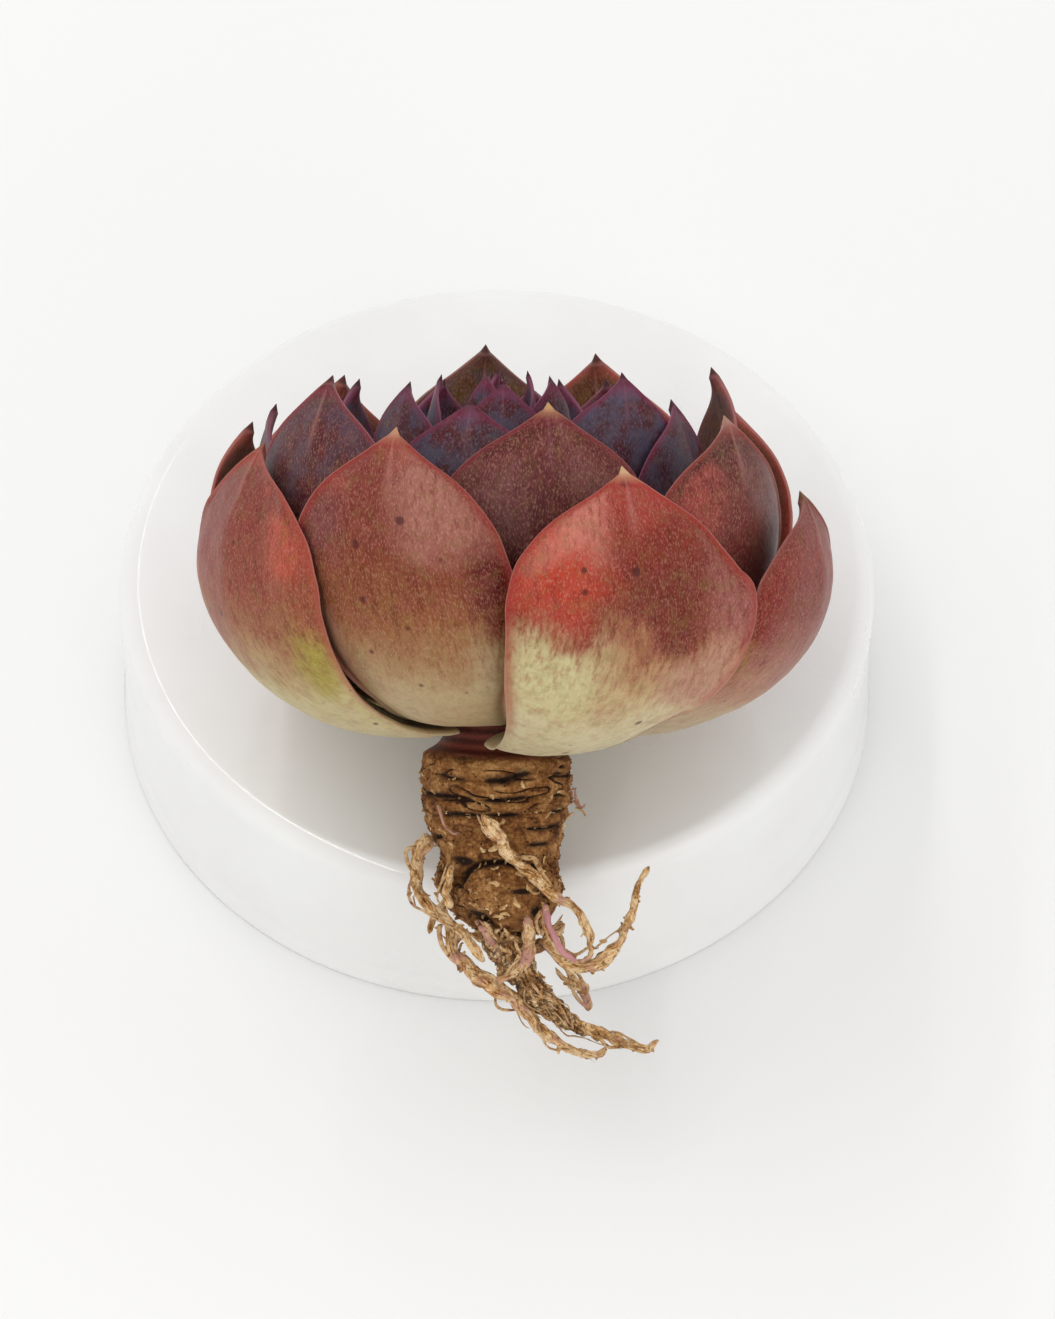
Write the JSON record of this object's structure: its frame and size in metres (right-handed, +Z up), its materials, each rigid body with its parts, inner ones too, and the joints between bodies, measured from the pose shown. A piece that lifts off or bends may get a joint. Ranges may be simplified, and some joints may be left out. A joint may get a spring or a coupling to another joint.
{
  "type": "bare-root rosette succulent on an upturned tub",
  "caption": "Bare-root echeveria-type rosette leaning back on a round upturned tub, its short scarred stem and tangled roots hanging over the front edge.",
  "frame": {"origin": "on the surface the tub stands on, under the middle of the whole object's box", "axes": "+Z up, away from the tub's rim; -Y towards the side the stem and roots hang over; the rosette leans back towards +Y"},
  "size_m": [0.0946, 0.113, 0.0832],
  "materials": {
    "leaf_outer": "satin",
    "leaf_middle": "satin",
    "leaf_inner": "satin",
    "stem_bark": "matte",
    "root_skin": "matte",
    "frosted_plastic": "satin"
  },
  "bodies": {
    "root": {"leaf_01": "leaf_outer", "leaf_02": "leaf_outer", "leaf_03": "leaf_outer", "leaf_04": "leaf_outer", "leaf_05": "leaf_outer", "leaf_06": "leaf_outer", "leaf_07": "leaf_outer", "leaf_08": "leaf_outer", "leaf_09": "leaf_middle", "leaf_10": "leaf_middle", "leaf_11": "leaf_middle", "leaf_12": "leaf_middle", "leaf_13": "leaf_middle", "leaf_14": "leaf_middle", "leaf_15": "leaf_middle", "leaf_16": "leaf_middle", "leaf_17": "leaf_inner", "leaf_18": "leaf_inner", "leaf_19": "leaf_inner", "leaf_20": "leaf_inner", "leaf_21": "leaf_inner", "leaf_22": "leaf_inner", "leaf_23": "leaf_inner", "leaf_24": "leaf_inner", "leaf_25": "leaf_inner", "leaf_26": "leaf_inner", "leaf_27": "leaf_inner", "leaf_28": "leaf_inner", "leaf_29": "leaf_inner", "leaf_30": "leaf_inner", "leaf_31": "leaf_inner", "leaf_32": "leaf_inner", "leaf_33": "leaf_inner", "leaf_34": "leaf_inner", "root_behind": "root_skin", "root_behind_left": "root_skin", "root_hook_right": "root_skin", "root_knot": "root_skin", "root_long_left": "root_skin", "root_loop_left": "root_skin", "root_pink": "root_skin", "root_side_left": "root_skin", "root_strap_front": "root_skin", "root_stub_front": "root_skin", "root_tail_low": "root_skin", "root_tail_right": "root_skin", "stem": "stem_bark", "tub": "frosted_plastic"}
  },
  "joints": []
}
